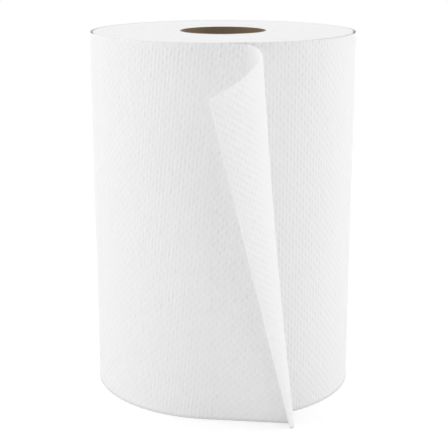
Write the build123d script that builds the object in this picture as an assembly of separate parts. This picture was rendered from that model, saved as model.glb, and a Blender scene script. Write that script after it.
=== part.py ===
"""A roll of white embossed paper towel, standing on its end on a brown board core.

The roll's axis is Z and its origin is the middle of its bottom end. The front is -Y.
Seen from above the sheet winds outwards anticlockwise. It leaves the roll at the front,
runs on to the right and curls back over itself as a loose tail. All sizes are in mm.
"""
import os
from dataclasses import dataclass
from math import cos, radians, sin

from build123d import *

# The roll: the sheet's width is the height at which the roll stands
sheet_width = 200.0
roll_diameter = 145.6
sheet_thickness = 0.4  # the sheet with the bulk that its embossing gives it

# The board core, a thin tube of two plies
core_outer_diameter = 47.4
core_wall = 0.7
core_fit = 0.05  # between the board and the first turn

# Angles in plan are measured from the front towards the right
# The step where the outermost turn passes over the one before it
seam_angle = 4.5

# The loose outermost turn stands away from the roll on the right and on the left
right_gap = 1.3
right_gap_direction = 62.0
right_gap_half_angle = 48.0
left_gap = 1.2
left_gap_direction = -88.0
left_gap_half_angle = 24.0

# Turns that lie a little deeper than their neighbours, a band that winds outwards in both ends
low_band_turns = 4
low_band_width = 2.6
low_band_depth = 0.3
low_band_margin = 5.0  # from the core, and from the loose turn

# The tail: its top edge lies in a plane that falls away towards the tip
tail_edge_fall = 0.5  # mm down for each mm forwards
tail_leaving_angle = -4.8
tail_kick = 2.0  # how far the sheet turns off the tangent as it leaves
tail_curl_turn = 107.8
tail_curl_arcs = 3  # equal arcs that follow one another, so each face of the curl stays simple
tail_root_depth = 1.6
tail_root_sink = 0.1


@dataclass
class TailSection:
    """The tail along its bottom or top edge: straight off the roll, a tight curl, then a bend to its end."""

    run: float
    curl_radius: float
    bend_radius: float
    bend_turn: float


tail_bottom = TailSection(run=40.6, curl_radius=4.0, bend_radius=3.7, bend_turn=41.7)
tail_top = TailSection(run=15.6, curl_radius=11.2, bend_radius=97.0, bend_turn=24.4)

roll_radius = roll_diameter / 2
core_radius = core_outer_diameter / 2
loose_inner_radius = roll_radius - sheet_thickness
first_turn_radius = core_radius + core_fit


def polar(radius, angle):
    """A point in plan, with its angle from the front towards the right."""
    return Vector(radius * sin(radians(angle)), -radius * cos(radians(angle)))


def half_turn(start, end):
    """The half circle from one point to another, anticlockwise seen from above."""
    middle = (start + end) / 2
    side = (end - start).rotate(Axis.Z, -90) / 2
    return ThreePointArc(start, middle + side, end)


# The outermost turn in plan is two half circles that meet behind, with a step of one sheet in front
step_foot = polar(roll_radius - sheet_thickness, seam_angle)
turn_back = polar(roll_radius - sheet_thickness / 2, seam_angle + 180)
step_head = polar(roll_radius, seam_angle)


def spiral_outline():
    """One turn round the roll, one sheet further out where it ends than where it began."""
    right_half = half_turn(step_foot, turn_back)
    left_half = half_turn(turn_back, step_head)
    return make_face([right_half, left_half, Line(step_head, step_foot)])


def gap_under_half(start, end, width, direction, half_angle):
    """The crescent between a half of the loose turn and the roll, widest in its direction."""
    centre = (start + end) / 2
    outer_radius = (end - start).length / 2 - sheet_thickness
    shift = width / (1 - cos(radians(half_angle)))
    body_centre = centre - polar(shift, direction)
    return Pos(centre) * Circle(outer_radius) - Pos(body_centre) * Circle(outer_radius + shift - width)


def low_band():
    """The band of deeper turns in plan, which winds outwards as half circles that grow."""
    inner = first_turn_radius + low_band_margin
    outer = loose_inner_radius - max(right_gap, left_gap) - low_band_margin
    halves = 2 * low_band_turns
    growth = (outer - low_band_width - inner) / halves
    inside, outside = [], []
    for half in range(halves):
        start = inner + half * growth
        side = 180 * half
        for offset, edges in ((0, inside), (low_band_width, outside)):
            first = polar(start + offset, side)
            last = polar(start + growth + offset, side + 180)
            edges.append(half_turn(first, last))
    start_cap = Line(inside[0] @ 0, outside[0] @ 0)
    end_cap = Line(outside[-1] @ 1, inside[-1] @ 1)
    return make_face([*outside, end_cap, *inside, start_cap])


def tail_side(section, offset):
    """One face of the tail along an edge: its run, curl and bend, moved by an offset towards the front."""
    heading = tail_leaving_angle - tail_kick
    start = polar(loose_inner_radius - tail_root_sink, tail_leaving_angle) + polar(offset, heading)
    end = start + polar(section.run, heading + 90)
    edges = [Line(start, end)]
    arcs = [(section.curl_radius, tail_curl_turn / tail_curl_arcs)] * tail_curl_arcs
    arcs.append((section.bend_radius, section.bend_turn))
    for radius, turn in arcs:
        centre = end + polar(radius - offset, heading)
        middle = centre - polar(radius - offset, heading - turn / 2)
        start, end = end, centre - polar(radius - offset, heading - turn)
        edges.append(ThreePointArc(start, middle, end))
        heading -= turn
    return edges


def tail_profile(section):
    """The tail's section along its bottom or top edge, rooted in the roll where it leaves it."""
    roll_face = tail_side(section, 0)
    front_face = tail_side(section, sheet_thickness)
    root = polar(loose_inner_radius - tail_root_depth, tail_leaving_angle)
    edge = Line(roll_face[-1] @ 1, front_face[-1] @ 1)
    into_roll = Line(front_face[0] @ 0, root)
    out_of_roll = Line(root, roll_face[0] @ 0)
    return make_face([*roll_face, edge, *front_face, into_roll, out_of_roll])


def make_tail():
    """The curled tail: straight lines join its bottom section to a top one that slopes off the roll's front."""
    slope = Plane(origin=(0, -roll_radius, sheet_width), x_dir=(1, 0, 0), z_dir=(0, -tail_edge_fall, 1))
    top_section = slope * Pos(0, roll_radius) * tail_profile(tail_top)
    curled = loft([tail_profile(tail_bottom).face(), top_section.face()], ruled=True)
    return split(curled, bisect_by=Plane.XY.offset(sheet_width), keep=Keep.BOTTOM)


def make_wound_towel():
    """The whole sheet: the wound turns, the loose outermost turn and the tail."""
    plan = spiral_outline() - Circle(first_turn_radius)
    plan -= gap_under_half(step_foot, turn_back, right_gap, right_gap_direction, right_gap_half_angle)
    plan -= gap_under_half(turn_back, step_head, left_gap, left_gap_direction, left_gap_half_angle)
    towel = extrude(plan, sheet_width) + make_tail()
    band = extrude(low_band(), low_band_depth)
    return towel - band - Pos(0, 0, sheet_width - low_band_depth) * band


def make_core_tube():
    """The board tube that the sheet is wound on, cut flush with the sheet's edges."""
    ring = Circle(core_radius) - Circle(core_radius - core_wall)
    return extrude(ring, sheet_width)


nodes = {
    "wound_towel": make_wound_towel(),
    "core_tube": make_core_tube(),
}

os.makedirs("parts", exist_ok=True)
for name, solid in nodes.items():
    export_step(solid, f"parts/{name}.step")
    print(name, len(solid.solids()), "solid", round(solid.volume), "mm3", "valid" if solid.is_valid else "not valid")
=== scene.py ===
# A roll of white embossed hand towel on a thin brown core.
# It stands on its end, and its tail has curled open in front.
import bpy
import numpy as np
from functools import partial
from math import atan, pi, radians
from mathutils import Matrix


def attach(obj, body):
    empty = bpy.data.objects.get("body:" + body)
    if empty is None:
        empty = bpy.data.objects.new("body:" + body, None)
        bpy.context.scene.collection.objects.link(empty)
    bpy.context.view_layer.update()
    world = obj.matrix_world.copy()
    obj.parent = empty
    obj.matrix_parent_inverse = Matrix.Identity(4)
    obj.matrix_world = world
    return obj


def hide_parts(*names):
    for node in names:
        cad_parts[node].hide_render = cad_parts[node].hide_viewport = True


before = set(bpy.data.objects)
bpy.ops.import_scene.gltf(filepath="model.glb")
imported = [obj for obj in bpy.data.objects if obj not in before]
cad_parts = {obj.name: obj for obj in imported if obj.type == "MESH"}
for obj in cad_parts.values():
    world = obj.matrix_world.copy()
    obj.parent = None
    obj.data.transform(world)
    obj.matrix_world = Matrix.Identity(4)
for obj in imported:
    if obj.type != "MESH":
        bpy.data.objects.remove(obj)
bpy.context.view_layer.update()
print("frame loaded:", sorted(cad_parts))

# Sizes are in metres. Angles round the roll are in degrees, 0 at the front (-Y) and 90 on the right (+X)
roll = {
    "radius": 0.07324,  # over the loose turn, which the photo shows standing a little proud
    "width": 0.2,  # the sheet's width, which is the roll's standing height
    "thickness": 0.0004,  # the sheet with the bulk of its embossing
    "boreRadius": 0.02375,
    "leavingAngle": -4.8,  # the tail leaves the roll here
    "footHeight": 0.0019,  # the sheet's bottom edge takes painted shade up to here, and the loose turn's edge spreads up to here
}

# Staggered rows of small upright marks with round corners, pressed in from the sheet's outer face
emboss = {
    "Mark Pitch": 0.0042,  # along the sheet
    "Row Pitch": 0.00226,
    "Mark Width": 0.0017,
    "Mark Height": 0.0034,
    "Flat Share": 0.4,  # a mark's floor is level out to this share of its reach
    "Unevenness": 0.35,  # the share of its depth that a mark can lose where the sheet was pressed lightly
    "Patches": 300.0,  # how closely the lightly pressed patches lie, for each metre
    "Full Below": 0.35,  # the pressing is full where the patches' noise is under this
    "Light Above": 0.65,  # and lightest where it is over this
    "Slant": 0.105,  # how far the columns lean as they climb, where the loose turn has slipped
}

crispAngle = 50  # an edge that bends more than this is a cut edge of the sheet
mergeReach = 1e-6  # points nearer than this become one
plainWhite = (1, 1, 1, 1)
nodeLayout = {"across": 12, "gap": (180, -220)}  # how a tree's nodes lie in the editor


def linearColour(hexCode):  # sRGB hex to the linear values that a socket holds
    shares = [int(hexCode[place:place + 2], 16) / 255 for place in (1, 3, 5)]
    linear = [s / 12.92 if s <= 0.04045 else ((s + 0.055) / 1.055) ** 2.4 for s in shares]
    return (*linear, 1.0)


def feed(tree, socket, value):  # links a node or a socket into this socket, or else sets its value
    if isinstance(value, bpy.types.Node):
        value = value.outputs[0]
    if isinstance(value, bpy.types.NodeSocket):
        tree.links.new(value, socket)
    else:
        socket.default_value = value


def addNode(tree, kind, values=(), **settings):  # the values go to its inputs, in order or by name
    node = tree.nodes.new(kind)
    down, across = divmod(len(tree.nodes), nodeLayout["across"])
    node.location = (across * nodeLayout["gap"][0], down * nodeLayout["gap"][1])
    for name, setting in settings.items():
        setattr(node, name, setting)
    for key, value in values.items() if isinstance(values, dict) else enumerate(values):
        feed(tree, node.inputs[key], value)
    return node


def newTree(name, sizes, result="NodeSocketGeometry"):  # a tree with a named input for each size
    tree = bpy.data.node_groups.new(name, "GeometryNodeTree")
    tree.interface.new_socket("Result", in_out="OUTPUT", socket_type=result)
    kinds = {"Columns": "NodeSocketInt", "Rows": "NodeSocketInt", "Rings": "NodeSocketInt",
             "Sheet": "NodeSocketGeometry", "Material": "NodeSocketMaterial"}
    for size in sizes:
        tree.interface.new_socket(size, in_out="INPUT", socket_type=kinds.get(size, "NodeSocketFloat"))
    return tree, addNode(tree, "NodeGroupInput").outputs


def growPiece(name, tree, sizes, mesh=None):  # runs the tree and keeps what it makes as a plain mesh
    piece = bpy.data.objects.new(name, mesh or bpy.data.meshes.new(name))
    bpy.context.scene.collection.objects.link(piece)
    modifier = piece.modifiers.new(tree.name, "NODES")
    modifier.node_group = tree
    for socket in tree.interface.items_tree:
        if socket.in_out == "INPUT" and socket.name in sizes:
            modifier[socket.identifier] = sizes[socket.name]
    grown = bpy.data.meshes.new_from_object(piece.evaluated_get(bpy.context.evaluated_depsgraph_get()))
    piece.modifiers.remove(modifier)
    piece.data = grown
    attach(piece, "root")
    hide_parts("wound_towel")
    print(name, "has", len(grown.polygons), "faces")


def finishTree(tree, shape, material):  # closes the shape's seams, and smooths all but the cut edges
    add = partial(addNode, tree)
    closed = add("GeometryNodeMergeByDistance", {"Geometry": shape, "Distance": mergeReach})
    edgeAngle = add("GeometryNodeInputMeshEdgeAngle").outputs["Unsigned Angle"]
    crisp = add("FunctionNodeCompare", [edgeAngle, radians(crispAngle)], operation="GREATER_THAN")
    marked = add("GeometryNodeStoreNamedAttribute",
                 {"Geometry": closed, "Name": "sharp_edge", "Value": crisp},
                 data_type="BOOLEAN", domain="EDGE")
    smooth = add("GeometryNodeSetShadeSmooth", [marked])
    real = add("GeometryNodeRealizeInstances", [smooth])
    finished = add("GeometryNodeSetMaterial", {"Geometry": real, "Material": material})
    add("NodeGroupOutput", [finished])


def unitGrid(add, acrossCount, upCount):  # a grid, with each point's share of the way across and up
    grid = add("GeometryNodeMeshGrid", [1, 1, acrossCount, upCount])
    cell = add("ShaderNodeVectorMath", [add("GeometryNodeInputPosition"), (0.5, 0.5, 0)], operation="ADD")
    share = add("ShaderNodeSeparateXYZ", [cell]).outputs
    return grid, share["X"], share["Y"]


def pointRound(add, angle, radius, level):  # a point that far round the roll, from its axis and up
    toRight = add("ShaderNodeMath", [angle], operation="SINE")
    toFront = add("ShaderNodeMath", [angle], operation="COSINE")
    toBack = add("ShaderNodeMath", [toFront, -1], operation="MULTIPLY")
    way = add("ShaderNodeCombineXYZ", [toRight, toBack])
    plan = add("ShaderNodeVectorMath", {0: way, "Scale": radius}, operation="SCALE")
    rise = add("ShaderNodeCombineXYZ", {"Z": level})
    return add("ShaderNodeVectorMath", [plan, rise], operation="ADD")


# How deep the sheet is pressed at a place on it: 0 on the land, 1 in the middle of a mark
def buildMarksTree():
    tree, given = newTree("embossMarks", ["Along", "Up", *emboss], "NodeSocketFloat")
    add = partial(addNode, tree)
    lean = add("ShaderNodeMath", [given["Slant"], given["Up"]], operation="MULTIPLY")
    level = add("ShaderNodeMath", [given["Along"], lean], operation="SUBTRACT")
    twoRows = add("ShaderNodeMath", [given["Row Pitch"], 2.0], operation="MULTIPLY")
    pitches = add("ShaderNodeCombineXYZ", [given["Mark Pitch"], twoRows, 1.0])
    fullSize = add("ShaderNodeCombineXYZ", [given["Mark Width"], given["Mark Height"], 2.0])
    halves = add("ShaderNodeVectorMath", [fullSize, (0.5, 0.5, 0.5)], operation="MULTIPLY")
    spot = add("ShaderNodeCombineXYZ", [level, given["Up"]])
    depths = []
    for stagger in (0.0, 0.5):  # every second row lies half a pitch along
        moved = add("ShaderNodeVectorMath", [spot, pitches], operation="DIVIDE")
        shifted = add("ShaderNodeVectorMath", [moved, (stagger, stagger, 0)], operation="ADD")
        share = add("ShaderNodeVectorMath", [shifted, (0.5, 0.5, 0.5), (-0.5, -0.5, -0.5)], operation="WRAP")
        distance = add("ShaderNodeVectorMath", [share, pitches], operation="MULTIPLY")
        reach = add("ShaderNodeVectorMath", [distance, halves], operation="DIVIDE")
        squared = add("ShaderNodeVectorMath", [reach, reach], operation="MULTIPLY")
        length = add("ShaderNodeVectorMath", [squared], operation="LENGTH").outputs["Value"]
        rounded = add("ShaderNodeMath", [length], operation="SQRT")
        depths.append(add("ShaderNodeMapRange",
                          {"Value": rounded, "From Min": 1.0, "From Max": given["Flat Share"]},
                          interpolation_type="SMOOTHSTEP"))
    deepest = add("ShaderNodeMath", depths, operation="MAXIMUM")
    patches = add("ShaderNodeTexNoise", {"Vector": spot, "Scale": given["Patches"], "Detail": 1.0})
    lighter = add("ShaderNodeMapRange", {"Value": patches, "From Min": given["Full Below"],
                                         "From Max": given["Light Above"], "To Max": given["Unevenness"]})
    kept = add("ShaderNodeMath", [1.0, lighter], operation="SUBTRACT")
    add("NodeGroupOutput", [add("ShaderNodeMath", [deepest, kept], operation="MULTIPLY")])
    return tree


marksTree = buildMarksTree()


def footShare(add, up, footHeight):  # 1 at the sheet's bottom edge, and 0 from the foot's height up
    return add("ShaderNodeMapRange", {"Value": up, "From Min": footHeight, "From Max": 0.0},
               interpolation_type="SMOOTHSTEP")


def markPaper(add, sheet, pressed, scuffed):  # stores the two shares that the paper's material reads: the marks' share, and the foot's share of painted shade
    marked = add("GeometryNodeStoreNamedAttribute",
                 {"Geometry": sheet, "Name": "pressed", "Value": pressed}, domain="POINT")
    return add("GeometryNodeStoreNamedAttribute",
               {"Geometry": marked, "Name": "scuffed", "Value": scuffed}, domain="POINT")


# The openings between the loose outermost turn and the wound body, with the turn's bulge at its top edge.
# Each also has how far the sheet has fallen below the roll's end there, and how much thinner its top edge is
crescents = [
    {"width": 0.0004, "bulge": 0.0, "fall": 0.0004, "thinned": 0.0, "direction": 55, "halfAngle": 38},
    {"width": 0.0011, "bulge": 0.0002, "fall": 0.0, "thinned": 0.00026, "direction": 84, "halfAngle": 24},
    {"width": 0.0010, "bulge": 0.0002, "fall": 0.0, "thinned": 0.00026, "direction": -87, "halfAngle": 28},
]


def openShare(add, angle, crescent, width):  # how wide a crescent stands open in this direction
    away = add("ShaderNodeMath", [angle, radians(crescent["direction"])], operation="SUBTRACT")
    wrapped = add("ShaderNodeMath", [away, pi, -pi], operation="WRAP")
    folded = add("ShaderNodeMath", [wrapped], operation="ABSOLUTE")
    return add("ShaderNodeMapRange", {"Value": folded, "From Min": radians(crescent["halfAngle"]),
                                      "From Max": 0.0, "To Max": width}, interpolation_type="SMOOTHSTEP")


# A quarter of the outermost turn is one grid. Its last rows fold over the top edge and down the inner face.
# Its angles here are measured on from the line where the tail leaves
outerTurn = {
    "Roll Radius": roll["radius"],
    "Sheet Thickness": roll["thickness"],
    "Sheet Width": roll["width"],
    "Leaving Angle": radians(roll["leavingAngle"]),
    "Slack Start": radians(30),  # the turn grows slack from here
    "Slack End": radians(270),
    "Emboss Depth": 0.00024,
    "Slack Depth": 0.00036,  # the marks stay deeper on the left, where the turn lies slack
    "Front Depth": 0.00020,  # what the marks gain beside the tail, on the right
    "Front Full": radians(34),  # they gain all of it up to here
    "Front End": radians(60),
    "Deepest Share": 0.8,  # of the sheet's thickness, so that a mark never breaks through it
    "Splay": 0.00025,  # the bottom edge spreads a little where the roll stands on it
    "Splay Start": 0.05,  # in radians from the seam, where the edge is held
    "Splay Full": 0.3,
    "Foot Height": roll["footHeight"],
    "Columns": 400,
    "Rows": 216,
}


foldRows = 4  # the inner face's top, middle and bottom, then the outer face's bottom again


def buildTurnTree():
    tree, given = newTree("outerTurnQuarter", [*outerTurn, *emboss, "First Angle", "Material"])
    add = partial(addNode, tree)
    acrossCount = add("ShaderNodeMath", [given["Columns"], 1], operation="ADD")
    upCount = add("ShaderNodeMath", [given["Rows"], foldRows + 1], operation="ADD")
    grid, shareAcross, shareUp = unitGrid(add, acrossCount, upCount)
    angle = add("ShaderNodeMath", [shareAcross, pi / 2, given["First Angle"]], operation="MULTIPLY_ADD")
    turned = add("ShaderNodeMath", [angle, given["Leaving Angle"]], operation="SUBTRACT")

    lastRow = add("ShaderNodeMath", [given["Rows"], foldRows], operation="ADD")
    row = add("ShaderNodeMath", [shareUp, lastRow], operation="MULTIPLY")
    pastTop = add("ShaderNodeMath", [row, given["Rows"]], operation="SUBTRACT")
    inner = add("ShaderNodeMath", [pastTop, 2.0, 1.5], operation="COMPARE")  # 1 on the inner face's rows
    climb = add("ShaderNodeMath", [row, given["Rows"]], operation="DIVIDE", use_clamp=True)
    height = add("ShaderNodeMapRange", {"Value": pastTop, "From Min": 1.0, "From Max": 3.0,
                                        "To Min": given["Sheet Width"], "To Max": 0.0})
    up = add("ShaderNodeMath", [climb, height], operation="MULTIPLY")

    along = add("ShaderNodeMath", [turned, given["Roll Radius"]], operation="MULTIPLY")
    slip = add("ShaderNodeMapRange", {"Value": turned, "From Min": given["Slack Start"],
                                      "From Max": given["Slack End"], "To Max": given["Slant"]},
               interpolation_type="SMOOTHSTEP")
    marking = {name: given[name] for name in emboss}
    marks = add("GeometryNodeGroup", {**marking, "Along": along, "Up": up, "Slant": slip},
                node_tree=marksTree)

    # how deep the marks are: they grow with the slack, and are crisp beside the tail
    slackness = add("ShaderNodeMapRange", {"Value": turned, "From Min": given["Slack Start"],
                                           "From Max": given["Slack End"], "To Min": given["Emboss Depth"],
                                           "To Max": given["Slack Depth"]})
    besideTail = add("ShaderNodeMapRange", {"Value": turned, "From Min": given["Front End"],
                                            "From Max": given["Front Full"], "To Max": given["Front Depth"]},
                     interpolation_type="SMOOTHSTEP")
    markDepth = add("ShaderNodeMath", [slackness, besideTail], operation="ADD")
    full = add("ShaderNodeMath", [marks, markDepth], operation="MULTIPLY")

    # the sheet is thinner at its top edge over the crescents
    middle = add("ShaderNodeMath", [given["Sheet Width"], 0.5], operation="MULTIPLY")
    thinning = add("ShaderNodeMapRange", {"Value": up, "From Min": middle, "From Max": given["Sheet Width"]})
    wall = given["Sheet Thickness"]
    for crescent in crescents:
        thinned = openShare(add, angle, crescent, -crescent["thinned"])
        wall = add("ShaderNodeMath", [thinned, thinning, wall], operation="MULTIPLY_ADD")
    deepest = add("ShaderNodeMath", [wall, given["Deepest Share"]], operation="MULTIPLY")
    pressed = add("ShaderNodeMath", [full, deepest], operation="MINIMUM")
    inwards = add("ShaderNodeMix", {0: inner, 2: pressed, 3: wall}, data_type="FLOAT")

    # the turn gains one sheet's thickness on its way round
    growth = add("ShaderNodeMapRange", {"Value": turned, "From Max": 2 * pi,
                                        "To Min": given["Sheet Thickness"], "To Max": 0.0})

    # only the outer face spreads at the foot, and not at the seam
    place = add("ShaderNodeCombineXYZ", [along, up])
    stored = add("GeometryNodeStoreNamedAttribute", {"Geometry": grid, "Name": "sheetPlace", "Value": place},
                 data_type="FLOAT_VECTOR", domain="POINT")
    atFoot = footShare(add, up, given["Foot Height"])
    # the foot's share is stored for painted shade along the bottom edge
    shadePainted = markPaper(add, stored, marks, atFoot)
    fromSeam = add("ShaderNodeMath", [turned, pi], operation="PINGPONG")
    spread = add("ShaderNodeMapRange", {"Value": fromSeam, "From Min": given["Splay Start"],
                                        "From Max": given["Splay Full"], "To Max": given["Splay"]})
    footSplay = add("ShaderNodeMath", [atFoot, spread], operation="MULTIPLY")
    outer = add("ShaderNodeMath", [1.0, inner], operation="SUBTRACT")
    splayed = add("ShaderNodeMath", [outer, footSplay], operation="MULTIPLY")
    shrunk = add("ShaderNodeMath", [growth, splayed], operation="SUBTRACT")
    depth = add("ShaderNodeMath", [inwards, shrunk], operation="ADD")
    radius = add("ShaderNodeMath", [given["Roll Radius"], depth], operation="SUBTRACT")

    atTop = add("ShaderNodeMapRange", {"Value": up, "From Min": middle, "From Max": given["Sheet Width"]},
                interpolation_type="SMOOTHSTEP")
    level = up
    for crescent in crescents:
        bulge = openShare(add, angle, crescent, crescent["bulge"])
        radius = add("ShaderNodeMath", [bulge, atTop, radius], operation="MULTIPLY_ADD")
        fall = openShare(add, angle, crescent, -crescent["fall"])
        level = add("ShaderNodeMath", [fall, atTop, level], operation="MULTIPLY_ADD")
    point = pointRound(add, angle, radius, level)
    bent = add("GeometryNodeSetPosition", {"Geometry": shadePainted, "Position": point})
    finishTree(tree, bent, given["Material"])
    return tree


# The wound turns inside it: a ring that meets the loose turn except where the crescents stand open
woundBody = {
    "Bore Radius": roll["boreRadius"],
    "Body Radius": roll["radius"] - 2 * roll["thickness"],
    "Sheet Width": roll["width"],
    "Sink": 0.00004,  # the ends lie just inside the outermost turn's edges
    "Band Depth": 0.00012,  # some turns lie deeper than their neighbours
    "Band Width": 0.0026,
    "Band Foot": 0.62,  # the slope into the band runs between these shares of its width, from its middle
    "Band Top": 0.38,
    "Band Pitch": 0.00826,
    "Wander": 0.00008,  # the ends are not quite flat from turn to turn
    "Wander Rate": 620.0,  # how closely that wander lies, for each metre
    "Columns": 200,
    "Rings": 108,
}


def buildBodyTree():
    tree, given = newTree("woundBody", [*woundBody, "Material"])
    add = partial(addNode, tree)
    acrossCount = add("ShaderNodeMath", [given["Columns"], 1], operation="ADD")
    upCount = add("ShaderNodeMath", [given["Rings"], 2, 3], operation="MULTIPLY_ADD")
    grid, shareAcross, shareUp = unitGrid(add, acrossCount, upCount)
    angle = add("ShaderNodeMath", [shareAcross, 2 * pi], operation="MULTIPLY")

    # the section runs from the top rim to the bore, down it, out to the bottom rim and up the wall again
    lastRow = add("ShaderNodeMath", [given["Rings"], 2, 2], operation="MULTIPLY_ADD")
    row = add("ShaderNodeMath", [shareUp, lastRow], operation="MULTIPLY")
    midway = add("ShaderNodeMath", [given["Rings"], 0.5], operation="ADD")
    fromBore = add("ShaderNodeMath", [row, midway], operation="SUBTRACT")
    rowsAway = add("ShaderNodeMath", [fromBore], operation="ABSOLUTE")
    ring = add("ShaderNodeMath", [rowsAway, 0.5], operation="SUBTRACT")
    outwards = add("ShaderNodeMath", [ring, given["Rings"]], operation="DIVIDE", use_clamp=True)
    halfSpan = add("ShaderNodeMath", [given["Rings"], 0.5, 0.5], operation="MULTIPLY_ADD")
    bottom = add("ShaderNodeMath", [fromBore, halfSpan, halfSpan], operation="COMPARE")

    rim = given["Body Radius"]
    for crescent in crescents:
        opened = openShare(add, angle, crescent, crescent["width"] - crescent["bulge"])
        rim = add("ShaderNodeMath", [rim, opened], operation="SUBTRACT")
    radius = add("ShaderNodeMapRange", {"Value": outwards, "To Min": given["Bore Radius"], "To Max": rim})

    # a deeper band of turns that winds outwards, and a slow wander from turn to turn
    fromAxis = add("ShaderNodeMath", [radius, given["Band Pitch"]], operation="DIVIDE")
    woundShare = add("ShaderNodeMath", [fromAxis, shareAcross], operation="SUBTRACT")
    turnShare = add("ShaderNodeMath", [woundShare, 0.5, -0.5], operation="WRAP")
    offMiddle = add("ShaderNodeMath", [turnShare], operation="ABSOLUTE")
    offBand = add("ShaderNodeMath", [offMiddle, given["Band Pitch"]], operation="MULTIPLY")
    bandFoot = add("ShaderNodeMath", [given["Band Width"], given["Band Foot"]], operation="MULTIPLY")
    bandTop = add("ShaderNodeMath", [given["Band Width"], given["Band Top"]], operation="MULTIPLY")
    band = add("ShaderNodeMapRange", {"Value": offBand, "From Min": bandFoot, "From Max": bandTop,
                                      "To Max": given["Band Depth"]}, interpolation_type="SMOOTHSTEP")
    rings = add("ShaderNodeTexNoise", {"W": radius, "Scale": given["Wander Rate"], "Detail": 2.0},
                noise_dimensions="1D")
    wander = add("ShaderNodeMath", [rings, given["Wander"]], operation="MULTIPLY")
    uneven = add("ShaderNodeMath", [band, wander], operation="ADD")
    sunk = add("ShaderNodeMath", [uneven, given["Sink"]], operation="ADD")
    topHeight = add("ShaderNodeMath", [given["Sheet Width"], sunk], operation="SUBTRACT")
    height = add("ShaderNodeMapRange", {"Value": bottom, "To Min": topHeight, "To Max": sunk})

    point = pointRound(add, angle, radius, height)
    bent = add("GeometryNodeSetPosition", {"Geometry": grid, "Position": point})
    finishTree(tree, bent, given["Material"])
    return tree


# The tail along its bottom and top edges: straight off the roll, round a curl, then a bend to its end
tail = {
    "kick": 2.0,  # how far the sheet turns off the tangent as it leaves
    "kickRun": 0.004,
    "curlTurn": 107.8,
    "edgeFall": 0.48,  # the top edge drops this much for each metre forwards
    "foldShift": 0.0013,  # the curl sits further left at half height than straight lines would put it
    "bottom": {"run": 0.0404, "curlRadius": 0.0040, "bendRadius": 0.0037, "bendTurn": 41.7},
    "top": {"run": 0.0154, "curlRadius": 0.0112, "bendRadius": 0.097, "bendTurn": 24.4},
    "markShareInCurl": 0.25,  # the curl stretches the embossing out
    "markShareAtFoot": 0.3,  # and so does its tighter end lower down, as far as the tail's cut edge
    "fadeColumns": 12,  # the marks fade over these columns where the curl begins
    "returnColumns": (8, 28),  # and come back between these columns past its end
    "footFade": (0.15, 0.85),  # and between these shares of the height above the foot
    "kickColumns": 8,
    "runColumns": 56,
    "curlColumns": 36,
    "bendColumns": 60,
    "rows": 280,
}


def heading(angle):  # the way that an angle in plan points
    return np.stack([np.sin(angle), -np.cos(angle)], axis=-1)


def tailInPlan(section):  # points and lengths along an edge of the tail, column by column
    stretches = (  # each stretch's columns, length and turn
        (tail["kickColumns"], tail["kickRun"], tail["kick"]),
        (tail["runColumns"], section["run"] - tail["kickRun"], 0.0),
        (tail["curlColumns"], section["curlRadius"] * radians(tail["curlTurn"]), tail["curlTurn"]),
        (tail["bendColumns"], section["bendRadius"] * radians(section["bendTurn"]), section["bendTurn"]),
    )
    steps = np.concatenate([np.full(columns, length / columns) for columns, length, turn in stretches])
    turns = np.concatenate([np.full(columns, radians(turn) / columns) for columns, length, turn in stretches])
    leaving = radians(roll["leavingAngle"])
    ways = heading(leaving + pi / 2 - np.cumsum(turns) + turns / 2)
    start = heading(leaving) * (roll["radius"] - roll["thickness"])
    points = start + np.vstack([[(0, 0)], np.cumsum(ways * steps[:, None], axis=0)])
    return points, np.append(0.0, np.cumsum(steps))


def tailMarkShare(columnCount, climb):  # how much of the embossing is left at each point
    curlStart = tail["kickColumns"] + tail["runColumns"]
    curlEnd = curlStart + tail["curlColumns"]
    fade = [curlStart, curlStart + tail["fadeColumns"], *(curlEnd + past for past in tail["returnColumns"])]
    columns = np.arange(columnCount)
    acrossShare = np.interp(columns, fade, [1, tail["markShareInCurl"], tail["markShareInCurl"], 1])
    curled = np.interp(columns, fade[:2], [0, 1])
    upLoss = np.interp(climb, tail["footFade"], [1 - tail["markShareAtFoot"], 0])
    return acrossShare[:, None] * (1 - np.outer(curled, upLoss))


def tailMesh():  # the face that lies towards the roll, as a grid of points with its places on the flat sheet
    climb = np.linspace(0, 1, tail["rows"] + 1)
    low, lowLengths = tailInPlan(tail["bottom"])
    high, highLengths = tailInPlan(tail["top"])
    reach = np.linspace(0, 1, len(low))
    forwards = -high[:, 1] - roll["radius"]
    slope = atan(tail["edgeFall"])
    lowEdge = np.column_stack([low, np.zeros(len(reach))])
    drop = np.maximum(forwards, 0) * np.sin(slope)
    highEdge = np.column_stack([high[:, 0], -roll["radius"] - forwards * np.cos(slope), roll["width"] - drop])
    points = lowEdge[:, None] * (1 - climb)[None, :, None] + highEdge[:, None] * climb[None, :, None]
    points[..., 0] -= tail["foldShift"] * np.sin(pi * reach)[:, None] * np.sin(pi * climb)[None, :]
    along = lowLengths[:, None] * (1 - climb) + highLengths[:, None] * climb + 2 * pi * roll["radius"]
    up = np.broadcast_to(climb * roll["width"], along.shape)
    places = np.stack([along, up, np.zeros(along.shape)], axis=-1)
    kept = tailMarkShare(len(low), climb)

    across, upCount = along.shape
    corners = np.arange(across * upCount).reshape(across, upCount)
    faces = np.stack([corners[:-1, :-1], corners[1:, :-1], corners[1:, 1:], corners[:-1, 1:]], axis=-1)
    mesh = bpy.data.meshes.new("tailFace")
    mesh.from_pydata(points.reshape(-1, 3).tolist(), [], faces.reshape(-1, 4).tolist())
    mesh.attributes.new("sheetPlace", "FLOAT_VECTOR", "POINT").data.foreach_set("vector", places.ravel())
    mesh.attributes.new("markShare", "FLOAT", "POINT").data.foreach_set("value", kept.ravel())
    return mesh


# The tail's tree presses the marks into that face, and gives the sheet its thickness
tailSheet = {
    "Sheet Thickness": roll["thickness"],
    "Emboss Depth": 0.00045,
    "Foot Height": roll["footHeight"],
}


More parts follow.
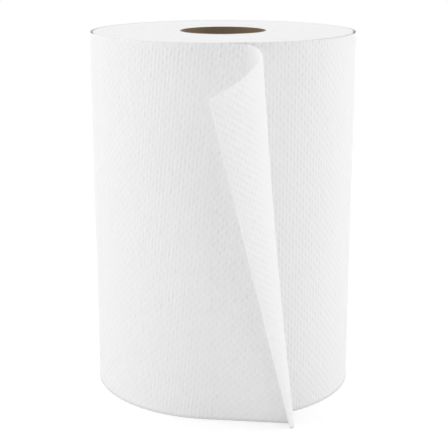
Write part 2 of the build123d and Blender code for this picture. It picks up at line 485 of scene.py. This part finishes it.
def buildTailTree():
    tree, given = newTree("embossedSheet", ["Sheet", *tailSheet, *emboss, "Material"])
    add = partial(addNode, tree)
    place = add("GeometryNodeInputNamedAttribute", ["sheetPlace"], data_type="FLOAT_VECTOR")
    flat = add("ShaderNodeSeparateXYZ", [place]).outputs
    marking = {name: given[name] for name in emboss}
    marks = add("GeometryNodeGroup", {**marking, "Along": flat["X"], "Up": flat["Y"]}, node_tree=marksTree)
    share = add("GeometryNodeInputNamedAttribute", ["markShare"], data_type="FLOAT")
    kept = add("ShaderNodeMath", [marks, share], operation="MULTIPLY")
    pressed = add("ShaderNodeMath", [kept, given["Emboss Depth"]], operation="MULTIPLY")
    inwards = add("ShaderNodeMath", [pressed, -1], operation="MULTIPLY")

    # the way out of the smooth face is kept, because the pressed one's own would make the sheet's wall uneven
    normal = add("GeometryNodeInputNormal")
    stored = add("GeometryNodeStoreNamedAttribute",
                 {"Geometry": given["Sheet"], "Name": "outwards", "Value": normal},
                 data_type="FLOAT_VECTOR", domain="POINT")
    # the foot's share is stored for painted shade along the bottom edge
    shadePainted = markPaper(add, stored, kept, footShare(add, flat["Y"], given["Foot Height"]))
    outwards = add("GeometryNodeInputNamedAttribute", ["outwards"], data_type="FLOAT_VECTOR")
    offset = add("ShaderNodeVectorMath", {0: outwards, "Scale": inwards}, operation="SCALE")
    rollFace = add("GeometryNodeSetPosition", {"Geometry": shadePainted, "Offset": offset})
    outerFace = add("GeometryNodeExtrudeMesh", {"Mesh": rollFace, "Offset": outwards, "Individual": False,
                                                "Offset Scale": given["Sheet Thickness"]})
    turnedOver = add("GeometryNodeFlipFaces", [rollFace])
    both = add("GeometryNodeJoinGeometry")
    for face in (outerFace, turnedOver):
        tree.links.new(face.outputs[0], both.inputs[0])
    finishTree(tree, both, given["Material"])
    return tree


def newMaterial(name):  # a material with its shader, and a partial that adds nodes to it
    material = bpy.data.materials.new(name)
    material.use_nodes = True
    return material, partial(addNode, material.node_tree), material.node_tree.nodes["Principled BSDF"]


def dress(material, shader, **sockets):  # sets or links the shader's sockets
    for name, value in sockets.items():
        feed(material.node_tree, shader.inputs[name.replace("_", " ")], value)


# Creped towel paper: matt white with a fibre tooth and fine upright crepe lines
towelPaper = {
    "white": "#F5F5F5",
    "pressedShadeWhite": "#F3F3F3",  # in the marks: painted shade in their hollows, and partly the denser grey of the pressed paper
    "footShadeGrey": "#DEDEDE",  # painted shade along the bottom edge, where the roll meets the floor
    "crepeSpacing": 0.0007,  # real crepe is near 0.2 mm, too fine to show from here
    "crepeSquash": 0.15,  # this draws the crepe out up the sheet, to 7 times its width
    "crepeDepth": 0.00003,
    "fibreSize": 0.0012,
    "fibreDepth": 0.00002,
    "roughness": 0.9,
    "ior": 1.45,
    "gloss": 0.2,  # a mat of fibres scatters most of the light that smooth cellulose would reflect
}


def buildTowelPaper():
    material, add, shader = newMaterial("crepedTowelPaper")
    white, pressedShadeWhite, footShadeGrey = (
        linearColour(towelPaper[shade]) for shade in ("white", "pressedShadeWhite", "footShadeGrey"))
    place = add("ShaderNodeAttribute", attribute_name="sheetPlace").outputs["Vector"]
    upright = add("ShaderNodeMapping", {"Vector": place, "Scale": (1.0, towelPaper["crepeSquash"], 1.0)})
    crepe = add("ShaderNodeTexNoise",
                {"Vector": upright, "Scale": 1 / towelPaper["crepeSpacing"], "Detail": 2.0})
    fibres = add("ShaderNodeTexNoise",
                 {"Vector": place, "Scale": 1 / towelPaper["fibreSize"], "Detail": 4.0})
    pressed = add("ShaderNodeAttribute", attribute_name="pressed").outputs["Fac"]
    scuffed = add("ShaderNodeAttribute", attribute_name="scuffed").outputs["Fac"]
    # painted shade: the colour greys a little in the marks' hollows, partly also the pressed paper's own grey
    thinned = add("ShaderNodeMix", {0: pressed, 6: white, 7: pressedShadeWhite}, data_type="RGBA").outputs[2]
    # painted shade: the colour greys along the bottom edge, standing in for the shade where the roll meets
    # the floor
    shadePainted = add("ShaderNodeMix", {0: scuffed, 6: thinned, 7: footShadeGrey}, data_type="RGBA").outputs[2]
    creped = add("ShaderNodeBump", {"Height": crepe, "Distance": towelPaper["crepeDepth"]})
    toothed = add("ShaderNodeBump",
                  {"Height": fibres, "Distance": towelPaper["fibreDepth"], "Normal": creped})
    dress(material, shader, Base_Color=shadePainted, Roughness=towelPaper["roughness"], IOR=towelPaper["ior"],
          Specular_IOR_Level=towelPaper["gloss"], Normal=toothed)
    return material


# Cut edges of the wound turns: matt white with fine rings where edge lies on edge
turnEdges = {
    "white": "#F5F5F5",
    "shade": "#E8E8E8",
    "turnSpacing": 0.0009,  # real turns are 0.14 mm apart, too fine to show from here
    "edgeDepth": 0.00006,
    "roughness": 0.95,
}


def buildTurnEdges():
    material, add, shader = newMaterial("cutTurnEdges")
    white = linearColour(turnEdges["white"])
    shade = linearColour(turnEdges["shade"])
    place = add("ShaderNodeTexCoord").outputs["Object"]
    inPlan = add("ShaderNodeVectorMath", [place, (1.0, 1.0, 0.0)], operation="MULTIPLY")
    fromAxis = add("ShaderNodeVectorMath", [inPlan], operation="LENGTH").outputs["Value"]
    rings = add("ShaderNodeTexNoise", {"W": fromAxis, "Scale": 1 / turnEdges["turnSpacing"], "Detail": 3.0},
                noise_dimensions="1D")
    ringed = add("ShaderNodeMix", {0: rings, 6: shade, 7: white}, data_type="RGBA").outputs[2]
    edged = add("ShaderNodeBump", {"Height": rings, "Distance": turnEdges["edgeDepth"]})
    dress(material, shader, Base_Color=ringed, Roughness=turnEdges["roughness"], Normal=edged)
    return material


# Kraft tube board, wound from two plies: brown and fibrous, and its inner ply's joint climbs as a thin line
tubeBoard = {
    "brown": "#98846E",
    "darkBrown": "#816D58",
    "plyWidth": 0.07,
    "jointWidth": 0.0006,
    "jointDepth": 0.0002,
    "fibreSize": 0.0015,
    "fibreSquash": 0.35,  # this draws the fibres out up the tube, to 3 times their width
    "fibreDepth": 0.00005,
    "roughness": 0.85,
}


def buildTubeBoard():
    material, add, shader = newMaterial("spiralWoundKraftBoard")
    brown = linearColour(tubeBoard["brown"])
    darkBrown = linearColour(tubeBoard["darkBrown"])
    jointShare = tubeBoard["jointWidth"] / tubeBoard["plyWidth"]
    place = add("ShaderNodeTexCoord").outputs["Object"]
    spot = add("ShaderNodeSeparateXYZ", [place]).outputs
    angle = add("ShaderNodeMath", [spot["X"], spot["Y"]], operation="ARCTAN2")
    turns = add("ShaderNodeMath", [angle, 2 * pi], operation="DIVIDE")
    climb = add("ShaderNodeMath", [spot["Z"], tubeBoard["plyWidth"]], operation="DIVIDE")
    wound = add("ShaderNodeMath", [climb, turns], operation="ADD")
    offJoint = add("ShaderNodeMath", [wound, 0.5, -0.5], operation="WRAP")
    distance = add("ShaderNodeMath", [offJoint], operation="ABSOLUTE")
    joint = add("ShaderNodeMapRange", {"Value": distance, "From Max": jointShare})
    stretched = add("ShaderNodeMapping", {"Vector": place, "Scale": (1.0, 1.0, tubeBoard["fibreSquash"])})
    fibres = add("ShaderNodeTexNoise",
                 {"Vector": stretched, "Scale": 1 / tubeBoard["fibreSize"], "Detail": 5.0})
    fibrous = add("ShaderNodeMix", {0: fibres, 6: darkBrown, 7: brown}, data_type="RGBA").outputs[2]
    jointed = add("ShaderNodeMix", {0: joint, 6: darkBrown, 7: fibrous}, data_type="RGBA").outputs[2]
    grooved = add("ShaderNodeBump", {"Height": joint, "Distance": tubeBoard["jointDepth"]})
    toothed = add("ShaderNodeBump",
                  {"Height": fibres, "Distance": tubeBoard["fibreDepth"], "Normal": grooved})
    dress(material, shader, Base_Color=jointed, Roughness=tubeBoard["roughness"], Normal=toothed)
    return material


towelMaterial = buildTowelPaper()
edgeMaterial = buildTurnEdges()
boardMaterial = buildTubeBoard()
print("materials made")

turnTree = buildTurnTree()
quarterNames = ("outerTurnRight", "outerTurnBackRight", "outerTurnBackLeft", "outerTurnLeft")
for quarter, name in enumerate(quarterNames):
    firstAngle = radians(roll["leavingAngle"] + 90 * quarter)
    sizes = {**outerTurn, **emboss, "First Angle": firstAngle, "Material": towelMaterial}
    growPiece(name, turnTree, sizes)
growPiece("woundTurns", buildBodyTree(), {**woundBody, "Material": edgeMaterial})
growPiece("curledTail", buildTailTree(), {**tailSheet, **emboss, "Material": towelMaterial}, tailMesh())

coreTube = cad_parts["core_tube"]
coreTube.data.materials.clear()
coreTube.data.materials.append(boardMaterial)
print("core tube dressed")


def seenDirectly(add):  # 1 for what the camera sees, and for what gloss or glass shows it
    path = add("ShaderNodeLightPath").outputs
    seen = add("ShaderNodeMath", [path["Is Camera Ray"], path["Is Glossy Ray"]], operation="MAXIMUM")
    return add("ShaderNodeMath", [seen, path["Is Transmission Ray"]], operation="MAXIMUM")


# A floor of white card: pure white to the eye, and near the roll it still takes the roll's soft shadow
floor = {
    "size": 12.0,
    "colour": "#F4F4F4",
    "roughness": 0.9,
    "litShare": 0.9,  # how much of the real light and shade shows near the roll
    "litReach": 0.12,  # it shows in full to here from the roll's axis
    "litEnd": 0.45,  # past here the card is plain white
    "glow": 2.35,  # brings the lit card up to white where nothing shades it
}


def buildFloor():
    material, add, shader = newMaterial("whiteCard")
    tree = material.node_tree
    dress(material, shader, Base_Color=linearColour(floor["colour"]), Roughness=floor["roughness"])
    place = add("ShaderNodeTexCoord").outputs["Object"]
    fromAxis = add("ShaderNodeVectorMath", [place], operation="LENGTH").outputs["Value"]
    near = add("ShaderNodeMapRange", {"Value": fromAxis, "From Min": floor["litEnd"],
                                      "From Max": floor["litReach"]}, interpolation_type="SMOOTHSTEP")
    white = add("ShaderNodeEmission", {"Color": plainWhite, "Strength": 1.0})
    bright = add("ShaderNodeEmission", {"Color": plainWhite, "Strength": floor["glow"]})
    lit = add("ShaderNodeMixShader", [floor["litShare"], bright, shader])
    card = add("ShaderNodeMixShader", [near, white, lit])
    mixed = add("ShaderNodeMixShader", [seenDirectly(add), shader, card])
    tree.links.new(mixed.outputs[0], tree.nodes["Material Output"].inputs["Surface"])
    half = floor["size"] / 2
    mesh = bpy.data.meshes.new("floor")
    corners = [(-half, -half, 0), (half, -half, 0), (half, half, 0), (-half, half, 0)]
    mesh.from_pydata(corners, [], [(0, 1, 2, 3)])
    mesh.materials.append(material)
    piece = bpy.data.objects.new("floor", mesh)
    bpy.context.scene.collection.objects.link(piece)


buildFloor()

# Soft white light from above, with a wide soft box on each side and a weaker one in front
studio = {
    "horizon": 0.0,  # the light from above fades to this level with the roll
    "overhead": 1.2,
    "boxDistance": 1.5,
    "boxes": [
        {"direction": -86, "height": 0.7, "power": 9.5, "size": 1.2},
        {"direction": 104, "height": 0.7, "power": 8.5, "size": 1.2},
        {"direction": 30, "height": 0.6, "power": 2.15, "size": 0.9},
    ],
}


def buildStudio():
    world = bpy.data.worlds.new("studio")
    world.use_nodes = True
    bpy.context.scene.world = world
    add = partial(addNode, world.node_tree)
    world.node_tree.nodes.clear()
    up = add("ShaderNodeSeparateXYZ", [add("ShaderNodeTexCoord").outputs["Generated"]]).outputs["Z"]
    strength = add("ShaderNodeMapRange",
                   {"Value": up, "To Min": studio["horizon"], "To Max": studio["overhead"]})
    sky = add("ShaderNodeBackground", [plainWhite, strength])
    backdrop = add("ShaderNodeBackground", [plainWhite, 1.0])
    add("ShaderNodeOutputWorld", [add("ShaderNodeMixShader", [seenDirectly(add), sky, backdrop])])
    for softBox in studio["boxes"]:
        lamp = bpy.data.lights.new("softBox", "AREA")
        lamp.size = softBox["size"]
        lamp.energy = softBox["power"]
        box = bpy.data.objects.new("softBox", lamp)
        away = heading(radians(softBox["direction"])) * studio["boxDistance"]
        box.location = (*away, softBox["height"])
        aim = box.location.copy()
        aim.z -= roll["width"] / 2
        box.rotation_euler = aim.to_track_quat("Z", "Y").to_euler()
        bpy.context.scene.collection.objects.link(box)


buildStudio()

# The photograph's viewpoint: straight in front, looking down a little
camera = {
    "place": (0.00047, -0.62168, 0.25195),
    "lookDown": 14.678,
    "focalPixels": 1111,  # focal length in the image's own pixels
    "imagePixels": 448,
    "clipStart": 0.01,
}


def buildCamera():
    data = bpy.data.cameras.new("camera")
    data.lens = data.sensor_width * camera["focalPixels"] / camera["imagePixels"]
    data.clip_start = camera["clipStart"]
    seat = bpy.data.objects.new("camera", data)
    seat.location = camera["place"]
    seat.rotation_euler = (radians(90 - camera["lookDown"]), 0, 0)
    bpy.context.scene.collection.objects.link(seat)
    bpy.context.scene.camera = seat


buildCamera()
bpy.context.scene.view_settings.view_transform = "Standard"
